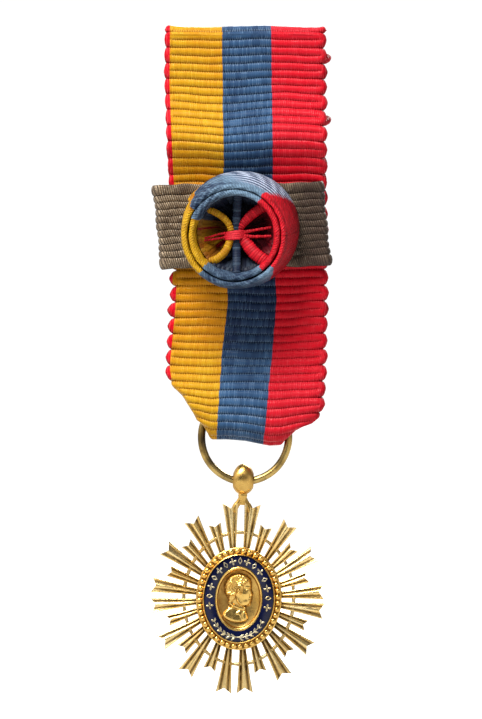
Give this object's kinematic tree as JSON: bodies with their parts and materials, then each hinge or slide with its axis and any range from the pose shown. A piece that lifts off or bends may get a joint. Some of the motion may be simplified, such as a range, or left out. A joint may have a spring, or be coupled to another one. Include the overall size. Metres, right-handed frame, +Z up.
{
  "type": "miniature order insignia on ribbon",
  "caption": "Miniature order insignia: rayed oval star hanging by a ring from a ribbed striped ribbon with a braid band, a cup rosette and a brooch back.",
  "frame": {"origin": "middle of the brooch pin's stem, where it passes through the wearer's cloth", "axes": "+Z up along the ribbon, +X to the viewer's right, -Y to the front, away from the wearer"},
  "size_m": [0.0178, 0.0111, 0.0658],
  "materials": {
    "ribbon": "ribbed moire-less silk rep in yellow, blue and red stripes, satin sheen on the ribs",
    "brooch": "polished gilt, pale, lightly scuffed",
    "braid": "dull silver-grey metal thread braid, toned brown",
    "rosette_cloth": "silk ribbon in yellow, blue and red, soft sheen",
    "thread": "red sewing silk",
    "ring_metal": "gilt wire, worn, with brown toning",
    "gilt": "cast gilt metal, satin, darker in the recesses and bright on the edges",
    "enamel": "dark blue vitreous enamel with fine gilt ornament, glossy"
  },
  "bodies": {
    "mounting": {"ribbon": "ribbon", "brooch_plate": "brooch", "brooch_pin": "brooch", "galloon": "braid", "rosette_backing": "rosette_cloth", "rosette_outer_roll": "rosette_cloth", "rosette_inner_roll": "rosette_cloth", "rosette_pleats": "rosette_cloth", "rosette_tie": "thread"},
    "ring": {"suspension_ring": "ring_metal"},
    "pendant": {"star": "gilt", "front_rim": "gilt", "enamel_ring": "enamel", "cameo": "gilt", "back_medallion": "gilt"}
  },
  "joints": [
    {"name": "ring_turn", "type": "hinge", "parent": "mounting", "child": "ring", "pos_m": [0, -0.0033, -0.03454], "axis": [0, 1, 0], "range_deg": [-50, 50]},
    {"name": "pendant_swing", "type": "hinge", "parent": "ring", "child": "pendant", "pos_m": [-0.00016, -0.0033, -0.03883], "axis": [0.9993, 0, -0.0384], "range_deg": [-90, 90]}
  ]
}
